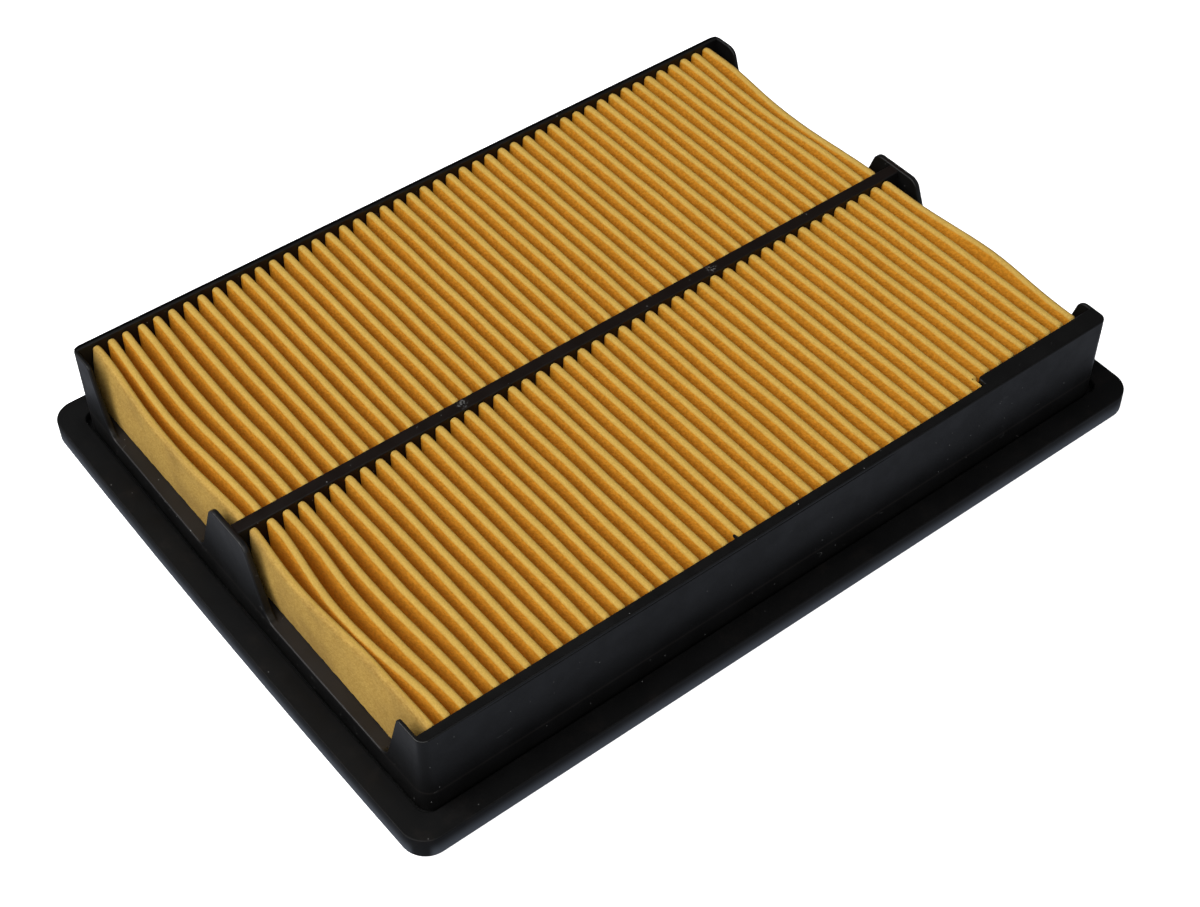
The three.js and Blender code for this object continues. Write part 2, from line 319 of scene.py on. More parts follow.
def round_edges(obj):
    """Bevels the convex edges, each by its own radius."""
    largest = max(EDGE_RADII.values())
    bm = bmesh.new()
    bm.from_mesh(obj.data)
    # The cuts leave hair-fine steps in flat faces, which would show in the bevels.
    for vert in bm.verts:
        if abs(vert.co.z / MM - SILL_TOP) < TOLERANCE:
            vert.co.z = SILL_TOP * MM
    bmesh.ops.remove_doubles(bm, verts=bm.verts, dist=TOLERANCE * MM)
    bmesh.ops.dissolve_degenerate(bm, dist=TOLERANCE * MM, edges=bm.edges)
    bmesh.ops.dissolve_limit(bm, angle_limit=FLAT, verts=bm.verts, edges=bm.edges)
    weights = bm.edges.layers.float.new("bevel_weight_edge")
    for edge in bm.edges:
        if len(edge.link_faces) != 2 or edge.calc_face_angle_signed() < SHARP:
            continue
        middle = (edge.verts[0].co + edge.verts[1].co) / 2 / MM
        edge[weights] = edge_radius(middle) / largest
    bm.to_mesh(obj.data)
    bm.free()
    modifier = obj.modifiers.new("round", "BEVEL")
    modifier.limit_method = "WEIGHT"
    modifier.width = largest * MM
    modifier.segments = 3
    modifier.use_clamp_overlap = False
    return apply_modifiers(obj)


def crease_cut():
    """A shallow sink line along the front wall, just under its top edge."""
    start, end, fade = -116.0, 42.0, 14.0
    depth, half_height, below_top = 0.55, 0.36, 1.15
    outside, just_outside = 0.3, 0.02
    face = -WALL_TOP[1] - DRAFT_Y * below_top / (TOP - FRAME_BOTTOM)
    middle = TOP - below_top
    points = []
    for x, share in ((start, 0), (start + fade, 1), (end - fade, 1), (end, 0)):
        points += [
            (x, face - outside, middle - half_height),
            (x, face - just_outside + depth * share, middle),
            (x, face - outside, middle + half_height),
        ]
    faces = [(0, 1, 2), (11, 10, 9)]
    for base in (0, 3, 6):
        for i in range(3):
            j = (i + 1) % 3
            faces.append((base + i, base + 3 + i, base + 3 + j, base + j))
    return face_outwards(mesh_object("tool", points, faces))


def gate_mark(x, rng):
    """The low, ragged button that a moulding gate leaves on the bar."""
    steps = 14
    half_x, half_y = 0.95, 0.7
    outlines = []
    for share in (1.0, 0.92, 0.6):
        outline = []
        for i in range(steps):
            angle = 2 * math.pi * i / steps
            across = half_x * share * math.cos(angle) * rng.uniform(0.85, 1.1)
            along = half_y * share * math.sin(angle) * rng.uniform(0.85, 1.1)
            outline.append((x + across, BAR_CENTRE + along))
        outlines.append(outline)
    top = TOP - BAR_DROP
    return stack(outlines, [top - 0.4, top + 0.22, top + 0.36])


def flash_nib():
    """A small nib of flash on the inner top edge of the front wall."""
    edge = BAYS["front"][0]
    outline = rounded_polygon([
        (NIB_X - 0.55, edge - OVERLAP, 0),
        (NIB_X + 0.55, edge - OVERLAP, 0),
        (NIB_X + 0.45, edge + 1.5, 0.35),
        (NIB_X - 0.3, edge + 1.1, 0.3),
    ])
    return stack([outline, outline], [TOP - 0.5, TOP - 0.06])


def moulding_marks(rng):
    return [gate_mark(-GATE_X, rng), gate_mark(GATE_X, rng), flash_nib()]


def build_frame():
    obj = wall_block()
    combine(obj, base_flange(), "UNION")
    for low, high in BAYS.values():
        for tool in window_cuts(low, high):
            combine(obj, tool, "DIFFERENCE")
    for end in (1, -1):
        for side in (1, -1):
            combine(obj, end_opening(end, side), "DIFFERENCE")
    bar_low = (-POST_INNER, BAR_FRONT - OVERCUT, TOP - BAR_DROP)
    bar_high = (POST_INNER, BAR_REAR + OVERCUT, TOP + OVERCUT)
    combine(obj, box(bar_low, bar_high), "DIFFERENCE")
    combine(obj, front_lip(), "UNION")
    round_edges(obj)
    combine(obj, crease_cut(), "DIFFERENCE")
    for mark in moulding_marks(random.Random(7)):
        combine(obj, mark, "UNION")
    return obj


# ---- The seal ------------------------------------------------------------------------------------

def arc(centre, radius, start, end, steps=4):
    """Points (inset, height) on an arc, angles in degrees."""
    angles = np.radians(np.linspace(start, end, steps + 1))
    return [(centre[0] + radius * math.cos(a), centre[1] + radius * math.sin(a)) for a in angles]


def seal_section():
    """The ring's section as (inset from its outer edge, height), once round."""
    outer_top, outer_bottom, small = 0.4, 1.1, 0.4
    groove = SEAL_HALF[0] - FLANGE_HALF[0] - CLEARANCE
    low, high = FLANGE_BOTTOM - CLEARANCE, FLANGE_TOP + CLEARANCE
    bulge = 0.12
    section = arc((outer_bottom, outer_bottom), outer_bottom, 270, 180, 6)
    section += arc((outer_top, SEAL_TOP - outer_top), outer_top, 180, 90, 6)
    section += [(SEAL_LAND * 0.5, SEAL_TOP - bulge)]
    section += arc((SEAL_LAND - small, SEAL_TOP - small), small, 90, 0, 3)
    section += arc((SEAL_LAND - small, high + small), small, 0, -90, 3)
    section += [(groove, high), (groove, low)]
    section += arc((SEAL_LAND - small, low - small), small, 90, 0, 3)
    section += arc((SEAL_LAND - small, small), small, 0, -90, 3)
    return section


def build_seal():
    section = seal_section()
    rings = []
    for inset, height in section:
        radius = SEAL_RADIUS + (SEAL_INNER_RADIUS - SEAL_RADIUS) * inset / SEAL_LAND
        outline = ring_outline(SEAL_HALF - inset, radius, END_CROWN, corner_steps=14, end_steps=24)
        rings.append([(x, y, height) for x, y in outline])
    count = len(rings[0])
    faces = []
    for r in range(len(rings)):
        base, following = r * count, (r + 1) % len(rings) * count
        for i in range(count):
            j = (i + 1) % count
            faces.append((base + i, base + j, following + j, following + i))
    obj = mesh_object("seal_ring", [p for ring in rings for p in ring], faces)
    return face_outwards(obj)


# ---- The pleated paper ---------------------------------------------------------------------------

PLEATS = 47
PAPER = 0.8  # the sheet's thickness
CREST_HALF_WIDTH = 1.2
CREST_SQUARENESS = 3.0  # 2 is round, more is squarer
SEEDS = {"front": 11, "rear": 23}
PLEAT_TOP = pack_high[2]
PLEAT_BOTTOM = pack_low[2]
LEAF_FOOT = pack_high[0] - PAPER / 2
LEAF_LEAN = {"left": 1.6, "right": 2.8}  # from a leaf's foot to its crest
FIRST_CREST = -LEAF_FOOT + LEAF_LEAN["left"] + CREST_HALF_WIDTH - PAPER / 2
LAST_CREST = LEAF_FOOT - LEAF_LEAN["right"] - CREST_HALF_WIDTH + PAPER / 2
PITCH = (LAST_CREST - FIRST_CREST) / (PLEATS - 1)

# How the outer pleats bow, from the end of a bay inwards: how far a crest goes along X, and the
# middle and half-length of its bow along Y.
BOWS = {
    ("rear", "left"): [
        (-2.2, 42, 46),
        (-2.3, 50, 44),
        (-1.8, 55, 42),
        (-1.3, 50, 42),
        (-0.9, 50, 40),
        (-0.5, 50, 40),
    ],
    ("front", "left"): [
        (-2.1, -30, 36),
        (-3.2, -45, 40),
        (-1.9, -50, 40),
        (-1.3, -42, 40),
        (-0.8, -40, 40),
    ],
    ("rear", "right"): [(-2.4, 42, 40), (-1.6, 55, 38), (-0.8, 55, 38)],
    ("front", "right"): [(2.0, -50, 34), (0.5, -50, 34)],
}
# How the crests drop and narrow at the far end of a bay, and drop a little at its near end.
TIP = {"run": 2.4, "drop": 1.0, "narrowing": 0.25, "roundness": 0.98, "near_run": 1.2, "near_drop": 0.35}
# Crests lean towards +X by this at a bay's rear, and as far back at its front.
SPLAY = {"front": 0.0, "rear": 0.6}
# Above the potting the pleat ends come this much closer to the wall.
END_REACH = 0.55
BEND = CREST_HALF_WIDTH - PAPER / 2  # radius of a fold's middle surface
STRAY = 0.12  # how far a crest is off its even spacing
WANDER = 0.16  # how far it wanders along its length
SHORT = 0.12  # how much lower a crest may be than its neighbours
SWELL = 0.1  # how far it rises and falls along its length
RIPPLE = 0.08  # how far its left shoulder ripples
RAGGED = 0.4  # how uneven the end leaves' feet are
VALLEY_FOLLOWS = 0.35  # how much of a crest's shift its valley takes up


def stations(start, end):
    """Places along a crest, closer together towards its tips."""
    near = np.array([0, 0.25, 0.6, 1.1, 1.7, 2.5, 3.6])
    inset = 5
    middle = np.linspace(start + inset, end - inset, 46)
    return np.concatenate([start + near, middle, end - near[::-1]])


def crest_shift(bay, index, y, rng):
    """How far each place on a crest is off its straight line."""
    shift = STRAY * rng.uniform(-1, 1) + WANDER * wave(y, (37, 61, 90), rng)
    shift = shift + SPLAY[bay] * (2 * (y - y[0]) / (y[-1] - y[0]) - 1)
    for end, from_end in (("left", index), ("right", PLEATS - 1 - index)):
        bows = BOWS[bay, end]
        if from_end < len(bows):
            reach, middle, half = bows[from_end]
            shift = shift + reach * np.clip(1 - ((y - middle) / half) ** 2, 0, 1) ** 2
    return shift


def fold(squareness, steps):
    """Unit points over half a superellipse from left to right."""
    angles = np.linspace(math.pi, 0, steps + 1)
    power = 2 / squareness
    across = np.sign(np.cos(angles)) * np.abs(np.cos(angles)) ** power
    return across, np.abs(np.sin(angles)) ** power


def tip_shape(y, start, end):
    """How far the crests drop, and their width's share, at each place along Y."""
    into_tip = np.clip(1 - (end - y) / TIP["run"], 0, 1)
    tip = 1 - np.sqrt(1 - TIP["roundness"] * into_tip ** 2)
    near_tip = smoothstep(1 - (y - start) / TIP["near_run"]) ** 2
    return TIP["drop"] * tip + TIP["near_drop"] * near_tip, 1 - TIP["narrowing"] * tip


class MiddleSurface:
    """A pleated sheet's middle surface, gathered column by column from left to right."""

    def __init__(self, y):
        self.y = y
        self.columns = []

    def add(self, x, z, fold_mark=0.0, leaf_mark=0.0):
        count = len(self.y)
        self.columns.append((np.broadcast_to(x, count), np.broadcast_to(z, count), fold_mark, leaf_mark))

    def leaf(self, side, crest_x, crest_z, rng):
        """A free end leaf: up from its ragged foot on the left side, down to it on the right."""
        foot_x = side * LEAF_FOOT
        foot_z = SILL_TOP + CLEARANCE + RAGGED + RAGGED * wave(self.y, (2.3, 3.1, 4.7, 9), rng)
        shares = (1, 0.93, 0.8, 0.6, 0.4, 0.2, 0.08)
        for share in shares if side < 0 else shares[::-1]:
            belly = side * 0.5 * math.sin(math.pi * share)
            x = crest_x + (foot_x - crest_x) * share + belly
            self.add(x, crest_z + (foot_z - crest_z) * share, leaf_mark=1.0)

    def crest(self, centre, width, top, ripple, leaf_side):
        for across, up in zip(*fold(CREST_SQUARENESS, 8)):
            x = centre + width * across + ripple * max(0.0, -across)
            self.add(x, top + BEND * up, 1 - up, float(leaf_side * across > 0.5))

    def flank(self, crest_x, foot_x, top, bottom, shares):
        for share in shares:
            self.add(crest_x + (foot_x - crest_x) * share, top + (bottom - top) * share, 1.0)

    def valley(self, centre, bottom):
        for across, down in zip(*fold(2.0, 3)):
            self.add(centre + BEND * across, bottom - BEND * down, 1.0)


def pleat_grid(bay, start, end):
    """The sheet's middle surface as x, z and two marks, each [place along Y, place across]."""
    rng = random.Random(SEEDS[bay])
    y = stations(start, end)
    drop, narrowing = tip_shape(y, start, end)
    centres = [FIRST_CREST + PITCH * i + crest_shift(bay, i, y, rng) for i in range(PLEATS)]
    width = BEND * narrowing
    bottom = PLEAT_BOTTOM + PAPER / 2 + BEND
    surface = MiddleSurface(y)
    for i, centre in enumerate(centres):
        top = PLEAT_TOP - PAPER / 2 - BEND - drop - SHORT * rng.random() + SWELL * wave(y, (29, 53), rng)
        ripple = RIPPLE * wave(y, (3.7, 7.9, 12.7), rng) * narrowing
        first, last = i == 0, i == PLEATS - 1
        if first:
            surface.leaf(-1, centre - width, top, rng)
        surface.crest(centre, width, top, ripple, last - first)
        if last:
            surface.leaf(1, centre + width, top, rng)
            break
        even = FIRST_CREST + PITCH * (i + 0.5)
        foot = even + VALLEY_FOLLOWS * ((centre + centres[i + 1]) / 2 - even)
        surface.flank(centre + width, foot - BEND, top, bottom, (0.08, 0.3))
        surface.valley(foot, bottom)
        surface.flank(centres[i + 1] - width, foot + BEND, top, bottom, (0.3, 0.08))
    x, z = (np.array([column[k] for column in surface.columns]).T for k in (0, 1))
    marks = np.array([column[2:] for column in surface.columns])
    return x, y, z, marks


def sheet_object(name, x, y, z, marks):
    """A closed sheet of constant thickness round a middle surface."""
    dx, dz = np.gradient(x, axis=1), np.gradient(z, axis=1)
    length = np.hypot(dx, dz)
    normal_x, normal_z = -dz / length, dx / length
    rows, columns = x.shape
    fade = 3.0
    near_end = smoothstep(1 - (y[-1] - y) / fade) - smoothstep(1 - (y - y[0]) / fade)
    free = smoothstep((z - POTTING_TOP - 0.5) / 2)
    full_y = y[:, None] + END_REACH * near_end[:, None] * free
    surfaces = [
        np.stack([x + normal_x * offset, full_y, z + normal_z * offset], -1).reshape(-1, 3)
        for offset in (PAPER / 2, -PAPER / 2)
    ]
    points = np.concatenate(surfaces)
    index = np.arange(rows * columns).reshape(rows, columns)
    lower = index + rows * columns

    def quads(a, b, c, d):
        return np.stack([a.ravel(), b.ravel(), c.ravel(), d.ravel()], 1)

    parts = [
        quads(index[:-1, :-1], index[:-1, 1:], index[1:, 1:], index[1:, :-1]),
        quads(lower[:-1, :-1], lower[1:, :-1], lower[1:, 1:], lower[:-1, 1:]),
        quads(index[0, :-1], lower[0, :-1], lower[0, 1:], index[0, 1:]),
        quads(index[-1, :-1], index[-1, 1:], lower[-1, 1:], lower[-1, :-1]),
        quads(index[:-1, 0], index[1:, 0], lower[1:, 0], lower[:-1, 0]),
        quads(index[:-1, -1], lower[:-1, -1], lower[1:, -1], index[1:, -1]),
    ]
    obj = mesh_object(name, points, np.concatenate(parts).tolist())
    for mark, values in zip(("fold", "leaf"), marks.T):
        attribute = obj.data.attributes.new(mark, "FLOAT", "POINT")
        attribute.data.foreach_set("value", np.tile(values, rows * 2).astype(np.float32))
    return obj


def build_pack(bay):
    low, high = box_mm(f"{bay}_pleat_pack")
    x, y, z, marks = pleat_grid(bay, low[1], high[1])
    if bay == "front":
        # The crests duck under the wall's lip.
        room, gap = 0.8, 0.4
        under_lip = (x > LIP_START - room) & (y[:, None] < BAYS["front"][0] + LIP_REACH + room)
        z = np.where(under_lip, np.minimum(z, TOP - LIP_DEPTH - PAPER / 2 - gap), z)
    return sheet_object(f"{bay}_paper_pleats", x, y, z, marks)


# ---- Adhesive ------------------------------------------------------------------------------------

def bead(name, places, sections, along_x):
    """A closed bead whose section (across, height) changes along X or Y."""
    count = len(sections[0])
    points = []
    for place, section in zip(places, sections):
        points += [(place, a, h) if along_x else (a, place, h) for a, h in section]
    faces = [tuple(range(count)), tuple(range(len(points) - 1, len(points) - count - 1, -1))]
    for row in range(len(places) - 1):
        base = row * count
        for i in range(count):
            j = (i + 1) % count
            faces.append((base + i, base + count + i, base + count + j, base + j))
    return face_outwards(mesh_object(name, points, faces))


def build_potting(node, name, seed):
    """A poured layer whose free top edge climbs a little at every pleat."""
    low, high = box_mm(node)
    rng = random.Random(seed)
    climb, sag, wander, crown = 0.35, 1.3, 0.5, 0.25
    x = np.linspace(low[0], high[0], 6 * PLEATS + 1)
    climbs = climb * (1 + np.cos(2 * math.pi * (x - FIRST_CREST) / PITCH))
    top = high[2] - sag + climbs + wander * wave(x, (17, 29, 47), rng)
    width = high[1] - low[1]
    sections = []
    for t in top:
        round_top = [
            (low[1] + width * (0.5 + 0.5 * math.cos(a)), t + crown * math.sin(a))
            for a in np.linspace(0, math.pi, 5)
        ]
        sections.append(round_top + [(low[1], low[2]), (high[1], low[2])])
    return bead(name, x, sections, along_x=True)


def build_strip(node, name, seed):
    """A hot-melt bead, flat against the sill and round towards the pleats."""
    low, high = box_mm(node)
    rng = random.Random(seed)
    y = np.linspace(low[1], high[1], 90)
    outwards = 1 if low[0] > 0 else -1
    against = high[0] if outwards > 0 else low[0]
    thick = (high[0] - low[0]) * (0.8 + 0.2 * wave(y, (6, 11, 19), rng))
    half = (high[2] - low[2]) / 2 * (0.86 + 0.14 * wave(y, (8, 13), rng))
    middle = (high[2] + low[2]) / 2
    sections = []
    for t, h in zip(thick, half):
        sections.append([
            (against - outwards * t * math.sin(a), middle + h * math.cos(a))
            for a in np.linspace(0, math.pi, 9)
        ])
    return bead(name, y, sections, along_x=False)


# ---- Materials -----------------------------------------------------------------------------------

class Nodes:
    """A material's node tree with short ways to add and join nodes."""

    def __init__(self, name):
        self.material = bpy.data.materials.new(name)
        self.material.use_nodes = True
        self.tree = self.material.node_tree
        self.tree.nodes.clear()
        self.shader = self.tree.nodes.new("ShaderNodeBsdfPrincipled")
        self.output = self.tree.nodes.new("ShaderNodeOutputMaterial")
        self.tree.links.new(self.shader.outputs["BSDF"], self.output.inputs["Surface"])
        coordinates = self.tree.nodes.new("ShaderNodeTexCoord")
        self.position = self.mapped(coordinates.outputs["Object"], scale=(1 / MM, 1 / MM, 1 / MM))

    def put(self, socket, value):
        if isinstance(value, bpy.types.NodeSocket):
            self.tree.links.new(value, socket)
        else:
            socket.default_value = value

    def mapped(self, vector, scale=(1, 1, 1), rotation=(0, 0, 0)):
        node = self.tree.nodes.new("ShaderNodeMapping")
        self.put(node.inputs["Vector"], vector)
        node.inputs["Scale"].default_value = scale
        node.inputs["Rotation"].default_value = rotation
        return node.outputs["Vector"]

    def noise(self, size, detail=3.0, roughness=0.55, stretch=(1, 1, 1), rotation=(0, 0, 0)):
        """Noise whose features measure about size millimetres."""
        node = self.tree.nodes.new("ShaderNodeTexNoise")
        vector = self.mapped(self.mapped(self.position, rotation=rotation), scale=stretch)
        self.put(node.inputs["Vector"], vector)
        node.inputs["Scale"].default_value = 1 / size
        node.inputs["Detail"].default_value = detail
        node.inputs["Roughness"].default_value = roughness
        return node.outputs["Fac"]

    def cells(self, size, output):
        """Distance to the nearest of many scattered points, or that point's own Color."""
        node = self.tree.nodes.new("ShaderNodeTexVoronoi")
        self.put(node.inputs["Vector"], self.position)
        node.inputs["Scale"].default_value = 1 / size
        return node.outputs[output]

    def ramp(self, value, low, high, to_low=0.0, to_high=1.0):
        node = self.tree.nodes.new("ShaderNodeMapRange")
        node.interpolation_type = "SMOOTHSTEP"
        self.put(node.inputs["Value"], value)
        self.put(node.inputs["From Min"], low)
        self.put(node.inputs["From Max"], high)
        self.put(node.inputs["To Min"], to_low)
        self.put(node.inputs["To Max"], to_high)
        return node.outputs["Result"]

    def math(self, operation, a, b=0.0):
        node = self.tree.nodes.new("ShaderNodeMath")
        node.operation = operation
        self.put(node.inputs[0], a)
        self.put(node.inputs[1], b)
        return node.outputs["Value"]

    def mix(self, share, a, b, blend="MIX"):
        node = self.tree.nodes.new("ShaderNodeMix")
        node.data_type = "RGBA"
        node.blend_type = blend
        self.put(node.inputs["Factor"], share)
        self.put(node.inputs["A"], a)
        self.put(node.inputs["B"], b)
        return node.outputs["Result"]

    def attribute(self, name):
        node = self.tree.nodes.new("ShaderNodeAttribute")
        node.attribute_name = name
        return node.outputs["Fac"]

    def axis(self, name):
        node = self.tree.nodes.new("ShaderNodeSeparateXYZ")
        self.put(node.inputs[0], self.position)
        return node.outputs[name]

    def facing_up(self):
        """1 on level tops, 0 on walls and undersides."""
        geometry = self.tree.nodes.new("ShaderNodeNewGeometry")
        node = self.tree.nodes.new("ShaderNodeSeparateXYZ")
        self.put(node.inputs[0], geometry.outputs["True Normal"])
        return self.ramp(node.outputs["Z"], 0.6, 0.95)

    def bump(self, height, distance, strength=1.0, before=None):
        """Bump of this height in millimetres."""
        node = self.tree.nodes.new("ShaderNodeBump")
        self.put(node.inputs["Height"], height)
        node.inputs["Distance"].default_value = distance * MM
        node.inputs["Strength"].default_value = strength
        if before is not None:
            self.put(node.inputs["Normal"], before)
        return node.outputs["Normal"]

    def finish(self, **values):
        for name, value in values.items():
            self.put(self.shader.inputs[name.replace("_", " ")], value)
        return self.material


def rgb(red, green, blue):
    return (red, green, blue, 1.0)


def specks(nodes, size, radius, share):
    """Small round marks, one in some cells of the given size."""
    distance = nodes.cells(size, "Distance")
    chosen = nodes.cells(size, "Color")
    separate = nodes.tree.nodes.new("ShaderNodeSeparateColor")
    nodes.put(separate.inputs["Color"], chosen)
    picked = nodes.math("LESS_THAN", separate.outputs["Red"], share)
    return nodes.math("MULTIPLY", nodes.ramp(distance, radius, radius * 0.5), picked)


def hairlines(nodes, size, rotation, low, high):
    """Thin straight scratches: the ridges of a long drawn noise, where another noise lets them show."""
    line = nodes.noise(size, detail=0.0, stretch=(1, 0.02, 1), rotation=rotation)
    ridge = nodes.math("ABSOLUTE", nodes.math("SUBTRACT", line, 0.5))
    thin = nodes.ramp(ridge, 0.006, 0.0)
    where = nodes.ramp(nodes.noise(size * 0.8, detail=1.0), low, high)
    return nodes.math("MULTIPLY", thin, where)


def gate_scuffs(nodes):
    """Pale scuffed patches round the two gate marks on the bar."""
    along = nodes.math("SUBTRACT", nodes.math("ABSOLUTE", nodes.axis("X")), GATE_X)
    across = nodes.math("SUBTRACT", nodes.axis("Y"), BAR_CENTRE)
    squares = [nodes.math("MULTIPLY", offset, offset) for offset in (along, across)]
    close = nodes.ramp(nodes.math("SQRT", nodes.math("ADD", *squares)), 2.6, 0.5)
    on_top = nodes.ramp(nodes.axis("Z"), TOP - 1.2, TOP - 0.9)
    ragged = nodes.ramp(nodes.noise(0.7, detail=3), 0.5, 0.62)
    return nodes.math("MULTIPLY", nodes.math("MULTIPLY", close, on_top), ragged)


def plastic_material():
    nodes = Nodes("satin_black_plastic")
    cloud = nodes.noise(26, detail=4)
    base = nodes.mix(cloud, rgb(0.0030, 0.0029, 0.0029), rgb(0.0052, 0.0049, 0.0048))
    # Painted light: the bar's upward faces are a little lighter and warmer.
    off_bar = nodes.math("ABSOLUTE", nodes.math("SUBTRACT", nodes.axis("Y"), BAR_CENTRE))
    bar_top = nodes.math("MULTIPLY", nodes.facing_up(), nodes.ramp(off_bar, 6.0, 4.0))
    painted_bar_light = nodes.mix(cloud, rgb(0.0060, 0.0034, 0.0024), rgb(0.0084, 0.0052, 0.0040))
    base = nodes.mix(bar_top, base, painted_bar_light)
    # Painted light: the posts' outer faces are paler towards their tops, where they catch the light.
    outer_face = nodes.ramp(nodes.math("ABSOLUTE", nodes.axis("X")), WALL_TOP[0] - 0.4, WALL_TOP[0])
    painted_post_light = nodes.math("MULTIPLY", outer_face, nodes.ramp(nodes.axis("Z"), 23.0, TOP))
    base = nodes.mix(painted_post_light, base, rgb(0.017, 0.0165, 0.0165))
    # Painted light: the sill tops are a paler, browner grey, mottled by the cloud noise.
    over_sill = nodes.math("ABSOLUTE", nodes.math("SUBTRACT", nodes.axis("Z"), SILL_TOP))
    painted_sill_light = nodes.math("MULTIPLY", nodes.ramp(over_sill, 0.5, 0.1), nodes.ramp(cloud, 0.2, 0.6, 0.6, 1.0))
    base = nodes.mix(painted_sill_light, base, rgb(0.0145, 0.0125, 0.0115))
    dust = specks(nodes, 3.0, 0.072, 0.35)
    scratch = hairlines(nodes, 6.0, (0.4, 0.2, 1.1), 0.68, 0.72)
    marks = nodes.math("MAXIMUM", dust, nodes.math("MULTIPLY", scratch, 0.5))
    marks = nodes.math("MAXIMUM", marks, nodes.math("MULTIPLY", gate_scuffs(nodes), 0.8))
    colour = nodes.mix(marks, base, rgb(0.19, 0.19, 0.185))
    rough = nodes.ramp(nodes.noise(9, detail=4), 0.3, 0.7, 0.34, 0.46)
    grain = nodes.noise(0.35, detail=2)
    swell = nodes.noise(14, detail=2)
    normal = nodes.bump(swell, 0.05, before=nodes.bump(grain, 0.006))
    return nodes.finish(
        Base_Color=colour,
        Roughness=nodes.math("ADD", rough, nodes.math("MULTIPLY", marks, 0.3)),
        Specular_IOR_Level=0.28,
        Normal=normal,
    )


def rubber_material():
    nodes = Nodes("black_seal_rubber")
    cloud = nodes.noise(32, detail=5)
    bloom = nodes.ramp(nodes.noise(7, detail=5, roughness=0.65), 0.5, 0.75)
    base = nodes.mix(cloud, rgb(0.0018, 0.0018, 0.0019), rgb(0.0038, 0.0037, 0.0037))
    bloom_and_reflection = nodes.mix(nodes.math("MULTIPLY", bloom, 0.6), base, rgb(0.0084, 0.0068, 0.0060))
    # Painted reflection of the pale floor: the outer side is paler and bluer towards its bottom edge.
    beyond = nodes.math("MAXIMUM", *(
        nodes.math("SUBTRACT", nodes.math("ABSOLUTE", nodes.axis(name)), half)
        for name, half in zip(("X", "Y"), SEAL_HALF)
    ))
    on_side = nodes.ramp(beyond, -1.2, -0.2)
    painted_floor_reflection = nodes.math("MULTIPLY", on_side, nodes.ramp(nodes.axis("Z"), SEAL_TOP * 0.85, 0.5))
    bloom_and_reflection = nodes.mix(painted_floor_reflection, bloom_and_reflection, rgb(0.085, 0.095, 0.112))
    dust = specks(nodes, 3.4, 0.058, 0.25)
    colour = nodes.mix(dust, bloom_and_reflection, rgb(0.17, 0.17, 0.165))
    rough = nodes.ramp(nodes.noise(11, detail=4), 0.3, 0.7, 0.5, 0.62)
    grain = nodes.noise(0.45, detail=3)
    swell = nodes.noise(18, detail=2)
    normal = nodes.bump(swell, 0.08, before=nodes.bump(grain, 0.012))
    return nodes.finish(Base_Color=colour, Roughness=rough, Specular_IOR_Level=0.16, Normal=normal)


def paper_material():
    nodes = Nodes("resin_treated_filter_paper")
    fibres = nodes.noise(0.5, detail=4, roughness=0.6, stretch=(1, 0.3, 1), rotation=(0.8, 0.1, 0.35))
    mottle = nodes.noise(0.32, detail=3, roughness=0.6)
    stains = nodes.noise(17, detail=3)
    edge = nodes.noise(3.6, detail=3, roughness=0.6)
    # Painted shade: the flanks get a deeper, more saturated orange than the crests, standing in for the
    # shade and interreflection between the folds.
    crest = nodes.mix(stains, rgb(0.515, 0.325, 0.073), rgb(0.58, 0.378, 0.092))
    flank = nodes.mix(stains, rgb(0.545, 0.238, 0.018), rgb(0.635, 0.292, 0.026))
    leaf = nodes.mix(nodes.ramp(stains, 0.35, 0.65), rgb(0.42, 0.262, 0.072), rgb(0.52, 0.33, 0.086))
    fold_mark = nodes.math("ADD", nodes.attribute("fold"), nodes.math("MULTIPLY", edge, 0.5))
    on_flank = nodes.ramp(fold_mark, 0.45, 1.22)
    sheet = nodes.mix(on_flank, crest, flank)
    sheet = nodes.mix(nodes.attribute("leaf"), sheet, leaf)
    tone = nodes.mix(nodes.ramp(fibres, 0.3, 0.7), rgb(0.90, 0.865, 0.79), rgb(1.06, 1.07, 1.09))
    sheet = nodes.mix(1.0, sheet, tone, blend="MULTIPLY")
    strokes = nodes.noise(0.8, detail=3, roughness=0.65, stretch=(1, 0.35, 1), rotation=(0.75, 0, 0.2))
    streak = nodes.mix(nodes.ramp(strokes, 0.38, 0.6), rgb(0.84, 0.79, 0.71), rgb(1.07, 1.09, 1.12))
    coarse = nodes.math("MAXIMUM", on_flank, nodes.math("MULTIPLY", nodes.attribute("leaf"), 0.45))
    sheet = nodes.mix(coarse, sheet, nodes.mix(1.0, sheet, streak, blend="MULTIPLY"))
    fleck = nodes.mix(nodes.ramp(mottle, 0.32, 0.68), rgb(0.95, 0.93, 0.89), rgb(1.03, 1.04, 1.05))
    sheet = nodes.mix(1.0, sheet, fleck, blend="MULTIPLY")
    fuzz = nodes.bump(mottle, 0.025, before=nodes.bump(fibres, 0.05))
    # Painted glow: a faint orange emission on the flanks stands in for light passing through the sheet
    # between the folds.
    return nodes.finish(
        Base_Color=sheet,
        Roughness=0.92,
        Specular_IOR_Level=0.06,
        Emission_Color=rgb(0.9, 0.36, 0.02),
        Emission_Strength=nodes.math("MULTIPLY", on_flank, 0.045),
        Normal=fuzz,
    )


def resin_material():
    nodes = Nodes("dark_potting_resin")
    cloud = nodes.noise(6, detail=4)
    colour = nodes.mix(cloud, rgb(0.003, 0.0026, 0.0023), rgb(0.007, 0.006, 0.005))
    pores = specks(nodes, 2.4, 0.16, 0.35)
    normal = nodes.bump(pores, 0.15, strength=0.6, before=nodes.bump(nodes.noise(1.6), 0.08))
    rough = nodes.ramp(nodes.noise(4), 0.3, 0.7, 0.5, 0.68)
    return nodes.finish(Base_Color=colour, Roughness=rough, Specular_IOR_Level=0.2, Normal=normal)


